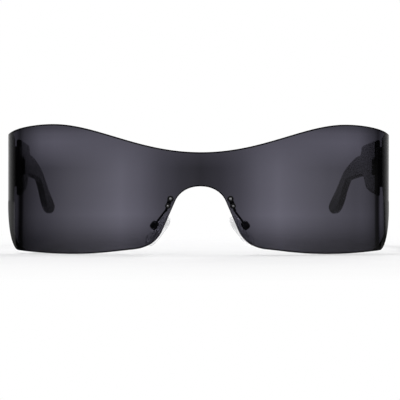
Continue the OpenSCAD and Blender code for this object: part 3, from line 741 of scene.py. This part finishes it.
def cut_away(obj, cutters):
    """Cuts closed forms out of a piece."""
    tools = []
    for verts, faces in cutters:
        tool = bpy.data.objects.new("cutter", fresh_mesh("cutter", verts, faces))
        bpy.context.scene.collection.objects.link(tool)
        mod = obj.modifiers.new("cut", "BOOLEAN")
        mod.operation = "DIFFERENCE"
        mod.solver = "EXACT"
        mod.object = tool
        tools.append(tool)
    graph = bpy.context.evaluated_depsgraph_get()
    mesh = bpy.data.meshes.new_from_object(obj.evaluated_get(graph))
    obj.modifiers.clear()
    old = obj.data
    obj.data = mesh
    mesh.name = old.name
    bpy.data.meshes.remove(old)
    for tool in tools:
        data = tool.data
        bpy.data.objects.remove(tool)
        bpy.data.meshes.remove(data)


for side, sign in SIDES:
    make_temple(side, sign)


# ---------------------------------------------------------------- rivets and bushes

# The upper rivet's place on the lens, the distance down to the lower one, and the lean between them
RIVET_X, RIVET_Z, RIVET_GAP, RIVET_LEAN = 11.4, 21.2, 2.9, math.radians(21)
# A rivet's shank and head, what it holds together, its domed front ends, and the slope under them
RIVET_R, RIVET_HEAD_R, RIVET_HEAD_H, GRIP = 0.4, 0.95, 0.35, 2.54
RIVET_END_RS, RIVET_END_H, DOME_FROM, DOME_SLOPE = (0.5, 0.31), 0.12, 0.35, 0.01
# A bush's body and bore gap, and the flanges that show in front
BUSH_R, BUSH_GAP, BUSH_HEAD_RS, BUSH_HEAD_H = 0.65, 0.02, (1.2, 1.02), 0.25
LATHE_ANGLE = 50.0


def rivet_frame(sign, d):
    """Axes at the lens's outer face: Z runs into the lens."""
    x, z = RIVET_X + d * math.sin(RIVET_LEAN), RIVET_Z - d * math.cos(RIVET_LEAN)
    a = math.asin(x / LENS_R)
    at = place(sign * x, ARC_Y - LENS_R * math.cos(a), z)
    into = Vector((-sign * math.sin(a), math.cos(a), 0))
    side_way = Vector((math.cos(a), sign * math.sin(a), 0))
    axes = Matrix((side_way, into.cross(side_way), into)).transposed().to_4x4()
    return Matrix.Translation(at) @ axes


def lathe(frames_and_profiles, around=40):
    """Turned forms. Each profile is a list of (radius, depth), closed if no radius is 0."""
    verts, faces = [], []
    turns = [2 * math.pi * i / around for i in range(around)]
    for m, profile in frames_and_profiles:
        rings = []
        for r, h in profile:
            if r == 0:
                rings.append([len(verts)] * around)
                verts.append(m @ Vector((0, 0, h * MM)))
            else:
                rings.append(list(range(len(verts), len(verts) + around)))
                verts += [m @ Vector((r * MM * math.cos(t), r * MM * math.sin(t), h * MM))
                          for t in turns]
        closed = min(r for r, _ in profile) > 0
        for a, b in zip(rings, rings[1:] + (rings[:1] if closed else [])):
            for i in range(around):
                j = (i + 1) % around
                corners = [a[i], a[j], b[j], b[i]]
                faces.append(tuple(v for k, v in enumerate(corners) if v != corners[k - 1]))
    return verts, faces


def rivet_profile(end_r):
    """From the domed end in front of the bush to the rounded head behind the bracket."""
    front = -BUSH_HEAD_H
    dome = [(end_r * math.sin(t), front - RIVET_END_H * math.cos(t))
            for t in np.linspace(DOME_FROM, math.pi / 2, 6)]
    head = [(RIVET_HEAD_R - inset, GRIP + h)
            for inset, h in ((0, 0), (0, 0.1), (0.07, 0.22), (0.22, 0.31), (0.45, RIVET_HEAD_H))]
    shank = [(RIVET_R, front + DOME_SLOPE), (RIVET_R, GRIP)]
    return [(0, front - RIVET_END_H)] + dome + shank + head + [(0, GRIP + RIVET_HEAD_H)]


def bush_profile(head_r):
    """A sleeve through the lens with a rounded flange in front."""
    bore = RIVET_R + BUSH_GAP
    flange = [(head_r - inset, -h)
              for inset, h in ((0, 0), (0, 0.08), (0.04, 0.16), (0.12, 0.225), (0.24, BUSH_HEAD_H))]
    return [(bore, LENS_T), (BUSH_R, LENS_T), (BUSH_R, 0)] + flange + [(bore, -BUSH_HEAD_H)]


def make_rivets(side, sign):
    frames = [rivet_frame(sign, 0), rivet_frame(sign, RIVET_GAP)]
    v, f = lathe([(m, rivet_profile(r)) for m, r in zip(frames, RIVET_END_RS)])
    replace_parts(new_piece("rivets_" + side, v, f, [MATERIALS["steel"]], "front",
                          LATHE_ANGLE), "nose_rivets_" + side)
    v, f = lathe([(m, bush_profile(r)) for m, r in zip(frames, BUSH_HEAD_RS)])
    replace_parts(new_piece("bushes_" + side, v, f, [MATERIALS["black_plastic"]], "front",
                          LATHE_ANGLE), "nose_bushes_" + side)


for side, sign in SIDES:
    make_rivets(side, sign)


# ---------------------------------------------------------------- nose pads

PIN = next(j["pos_m"] for j in frame["record"]["behaviour"]["joints"]
           if j["name"] == "pad_right_rock")
PAD_SLOPE, PAD_SPLAY = math.radians(52.6), math.radians(25)
# The box: outside sizes, how far it reaches past its pin towards the pad, its wall and its slot
BOX_L, BOX_W, BOX_H, BOX_OPEN, BOX_WALL, SLOT_W = 3.4, 2.9, 2.4, 1.08, 0.4, 1.14
BOX_CORNER_R, SLOT_CORNER_R = 1.25, 0.2
# Its rounded rims, as insets of the outline and distances from the open and the closed end
BOX_MOUTH = ((0.32, 0), (0.16, 0.05), (0.04, 0.16), (0, 0.32))
BOX_TOP = ((0, 1), (0.07, 0.62), (0.29, 0.29), (0.62, 0.07), (1, 0))
# The pad: outside sizes, how far below its pin its back lies, how far its middle is from its pin
# along it, and how much narrower one end is than its middle
PAD_L, PAD_W, PAD_T, PAD_BACK, PAD_SHIFT, PAD_TAPER = 14.0, 7.6, 2.4, 1.88, 0.9, 0.07
# From its back to its crowned face: share of the outline, and distance from its back
PAD_PROFILE = [(0.80, 0), (0.93, 0.06), (0.985, 0.3), (1.0, 0.7), (0.985, 1.15), (0.94, 1.5),
               (0.84, 1.8), (0.66, 2.08), (0.42, 2.28), (0.18, 2.38)]
PAD_AROUND, PAD_ANGLE = 48, 60.0


def pad_frame(sign):
    """The pad's own axes: X along the pad, Y along its pin, its face towards -Z."""
    m = Matrix.Rotation(PAD_SLOPE, 4, "Y") @ Matrix.Rotation(PAD_SPLAY, 4, "X")
    m = Matrix.Translation(Vector(PIN)) @ m
    return Matrix.Scale(-1, 4, (1, 0, 0)) @ m if sign < 0 else m


def rounded_loop(half_x, half_y, r, z, steps=6):
    """A level loop of points round a rectangle with rounded corners."""
    out = []
    for q in range(4):
        cx = (half_x - r) * (1 if q in (0, 3) else -1)
        cy = (half_y - r) * (1 if q < 2 else -1)
        for i in range(steps + 1):
            a = math.pi / 2 * (q + i / steps)
            out.append(Vector(((cx + r * math.cos(a)) * MM, (cy + r * math.sin(a)) * MM, z * MM)))
    return out


def make_pad_box(side, sign):
    """The box that holds the pad's tongue: rounded outside, with a slot open towards the pad."""
    top = BOX_H - BOX_OPEN
    slot = (BOX_L / 2 - BOX_WALL, SLOT_W / 2, SLOT_CORNER_R)
    loops = [rounded_loop(*slot, top - BOX_WALL), rounded_loop(*slot, -BOX_OPEN)]
    for inset, z in ([(inset, d - BOX_OPEN) for inset, d in BOX_MOUTH]
                     + [(inset, top - d) for inset, d in BOX_TOP]):
        loops.append(rounded_loop(BOX_L / 2 - inset, BOX_W / 2 - inset, BOX_CORNER_R - inset, z))
    n = len(loops[0])
    m = pad_frame(sign)
    verts = [m @ v for loop in loops for v in loop]
    faces = [tuple(range(n)), tuple(range(n * (len(loops) - 1), n * len(loops)))]
    for j in range(len(loops) - 1):
        for i in range(n):
            k = (i + 1) % n
            faces.append((j * n + i, j * n + k, (j + 1) * n + k, (j + 1) * n + i))
    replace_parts(new_piece("pad_housing_" + side, verts, faces, [MATERIALS["black_metal"]],
                          "front"), "pad_box_" + side)


def pad_point(t, k, z):
    """A point of the pad's outline at step t, shrunk to k, at height z."""
    a = 2 * math.pi * t / PAD_AROUND
    r, straight = PAD_W / 2, (PAD_L - PAD_W) / 2
    cx = straight if math.cos(a) > 0 else -straight
    taper = 1.0 - PAD_TAPER * (1 if cx < 0 else -1) * abs(math.cos(a))
    x, y = PAD_SHIFT + (cx + r * math.cos(a)) * k, r * math.sin(a) * k * taper
    return Vector((x * MM, y * MM, z * MM))


def make_pad(side, sign):
    """A drop-shaped clear pad: crowned face, soft rim, flat back."""
    n = PAD_AROUND
    verts = [pad_point(t, k, -PAD_BACK - d) for k, d in PAD_PROFILE for t in range(n)]
    back, face = len(verts), len(verts) + 1
    verts.append(Vector((PAD_SHIFT * MM, 0, (-PAD_BACK) * MM)))
    verts.append(Vector((PAD_SHIFT * MM, 0, (-PAD_BACK - PAD_T) * MM)))
    faces = []
    last = (len(PAD_PROFILE) - 1) * n
    for i in range(0, last, n):
        for t in range(n):
            u = (t + 1) % n
            faces.append((i + t, i + u, i + n + u, i + n + t))
    for t in range(n):
        u = (t + 1) % n
        faces.append((u, t, back))
        faces.append((last + t, last + u, face))
    m = pad_frame(sign)
    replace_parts(new_piece("clear_pad_" + side, [m @ v for v in verts], faces,
                          [MATERIALS["silicone"]], "pad_" + side, PAD_ANGLE),
                "nose_pad_" + side)


for side, sign in SIDES:
    make_pad_box(side, sign)
    make_pad(side, sign)


# ---------------------------------------------------------------- stage and light

# What polished faces see in front. VEIL_X runs from the left over the middle to the right, and
# VEIL_Z from eye level up: pale screens at both sides that end just above eye level
VEIL_X = [(0.07, 0.04), (0.12, 0.14), (0.175, 0.66), (0.28, 0.66), (0.36, 0.1), (0.42, 0.06),
          (0.5, 0.3), (0.58, 0.06), (0.64, 0.1), (0.72, 0.6), (0.825, 0.72), (0.87, 0.6),
          (0.91, 0.42), (0.935, 0.26), (0.95, 0.05)]
VEIL_Z = [(0.5, 0.42), (0.535, 0.42), (0.577, 0.26), (0.6, 0.13), (0.625, 0.02)]
VEIL_Z_GAIN = 5.0
# What they see behind, from front to back, and above, from eye level to straight up
BACKDROP_Y = [(0.0, 0.0), (0.45, 0.02), (0.6, 0.24), (0.7, 0.44), (0.8, 0.62), (0.95, 0.9)]
CEILING_Z = [(0.1, 0.0), (0.35, 0.45)]
# The world's light on faces that aren't polished
ROOM_LIGHT = 0.28
# How white the eye sees the floor by distance from the middle, over PAPER_SPAN metres, and polished
# faces all over
PAPER_SPAN, PAPER_WHITE, FLOOR_WHITE = 0.6, [(0.17, 0.4), (0.5, 1.0)], 0.5
# How much polished faces see it dimmed instead, by distance and by how far in front it lies, both
# in metres. It then gives off FLOOR_X by direction, and in front FLOOR_VEIL of the screens' light
FLOOR_FAR, FLOOR_FRONT = [(0.02, 0.45), (0.3, 1.0)], [(0.055, 0.0), (0.085, 1.0)]
FLOOR_X = [(0.1, 0.5), (0.3, 0.3), (0.7, 0.3), (0.9, 0.6), (0.97, 0.45), (0.99, 0.1)]
FLOOR_VEIL = 0.36
FLOOR_SIZE, FLOOR_DROP = 8.0, 0.0002


def sight(nt):
    """The light path's outputs, and 1 for what the eye sees, also through the lens."""
    path = add(nt, "ShaderNodeLightPath").outputs
    return path, math_node(nt, "ADD", path["Is Camera Ray"], path["Is Transmission Ray"],
                           clamp=True)


def floor_material():
    """Pale paper. It is white to the eye and through the lens, apart from the soft shadow near the
    part. Polished faces see it dimmer, most of all in front of the lens and far away."""
    mat, nt = new_material("floor_paper")
    co = coords_of(nt)
    parts = xyz(nt, co)
    length = add(nt, "ShaderNodeVectorMath", operation="LENGTH")
    nt.links.new(co, length.inputs[0])
    length = length.outputs["Value"]
    fibre = noise(nt, co, scale=40.0, detail=5.0, rough=0.6)
    diffuse = add(nt, "ShaderNodeBsdfDiffuse")
    nt.links.new(between(nt, fibre, (0.9, 0.9, 0.91), (0.94, 0.94, 0.95)), diffuse.inputs["Color"])
    white = add(nt, "ShaderNodeEmission")
    white.inputs["Strength"].default_value = 1.0
    path, seen = sight(nt)
    glossy = math_node(nt, "MULTIPLY", path["Is Glossy Ray"], math_node(nt, "SUBTRACT", 1.0, seen))
    away = ramp(nt, math_node(nt, "DIVIDE", length, PAPER_SPAN), PAPER_WHITE)
    fac = math_node(nt, "ADD", math_node(nt, "MULTIPLY", seen, away),
                    math_node(nt, "MULTIPLY", glossy, FLOOR_WHITE))
    paper = mix_shader(nt, fac, diffuse.outputs[0], white.outputs[0])
    front = ramp(nt, math_node(nt, "MULTIPLY", parts["Y"], -1.0), FLOOR_FRONT)
    azimuth = from_middle(nt, math_node(nt, "DIVIDE", parts["X"], length))
    veil = math_node(nt, "MULTIPLY", ramp(nt, azimuth, VEIL_X), FLOOR_VEIL)
    dim = add(nt, "ShaderNodeEmission")
    strength = mix_colour(nt, front, ramp(nt, azimuth, FLOOR_X), veil)
    nt.links.new(strength, dim.inputs["Strength"])
    fac = math_node(nt, "MAXIMUM", front, ramp(nt, length, FLOOR_FAR))
    fac = math_node(nt, "MULTIPLY", glossy, fac)
    output(nt, mix_shader(nt, fac, paper, dim.outputs[0]))
    return mat


def make_floor():
    bpy.ops.mesh.primitive_plane_add(size=FLOOR_SIZE, location=(0, 0, -FLOOR_DROP))
    floor = bpy.context.object
    floor.name = "floor"
    floor.data.materials.append(floor_material())


def make_world():
    """White to the eye. Polished faces see a backdrop behind, a ceiling, and screens in front."""
    world = bpy.data.worlds.new("studio")
    bpy.context.scene.world = world
    world.use_nodes = True
    nt = world.node_tree
    nt.nodes.clear()
    way = xyz(nt, add(nt, "ShaderNodeTexCoord").outputs["Generated"])
    back = ramp(nt, from_middle(nt, way["Y"]), BACKDROP_Y)
    veil = math_node(nt, "MULTIPLY", ramp(nt, from_middle(nt, way["X"]), VEIL_X),
                     ramp(nt, from_middle(nt, way["Z"], VEIL_Z_GAIN), VEIL_Z))
    front = math_node(nt, "ADD", veil, ramp(nt, way["Z"], CEILING_Z))
    glow = math_node(nt, "MAXIMUM", back, front)
    path, seen = sight(nt)
    glossy = path["Is Glossy Ray"]
    other = math_node(nt, "SUBTRACT", 1.0, math_node(nt, "ADD", seen, glossy, clamp=True))
    strength = math_node(nt, "ADD", seen, math_node(nt, "MULTIPLY", glossy, glow), clamp=True)
    strength = math_node(nt, "ADD", strength, math_node(nt, "MULTIPLY", other, ROOM_LIGHT))
    bg = add(nt, "ShaderNodeBackground")
    bg.inputs["Color"].default_value = (1, 1, 1, 1)
    nt.links.new(strength, bg.inputs["Strength"])
    out = add(nt, "ShaderNodeOutputWorld")
    nt.links.new(bg.outputs[0], out.inputs["Surface"])


def soft_light(name, at, to, size, watts):
    data = bpy.data.lights.new(name, "AREA")
    data.shape = "ELLIPSE"
    data.size, data.size_y = size
    data.energy = watts
    obj = bpy.data.objects.new(name, data)
    bpy.context.scene.collection.objects.link(obj)
    obj.location = at
    obj.rotation_mode = "QUATERNION"
    obj.rotation_quaternion = (Vector(at) - Vector(to)).to_track_quat("Z", "Y")
    obj.visible_camera = False
    obj.visible_transmission = False


make_floor()
make_world()
# The top lamp's shape and place make the line of light along the arm's upper edge
soft_light("key", at=(0.5, 0.3, 0.9), to=(0, 0, 0), size=(0.4, 0.4), watts=2.5)
soft_light("top", at=(-0.38, -0.06, 0.85), to=(0, -0.05, 0.02), size=(0.36, 0.23), watts=3.6)
soft_light("back", at=(0.3, 1.0, 0.45), to=(0, 0, 0.02), size=(0.4, 0.4), watts=5.0)
soft_light("fill", at=(-0.5, -0.9, 0.9), to=(0, 0, 0.02), size=(0.8, 0.8), watts=1.4)
bpy.context.scene.view_settings.view_transform = "Standard"
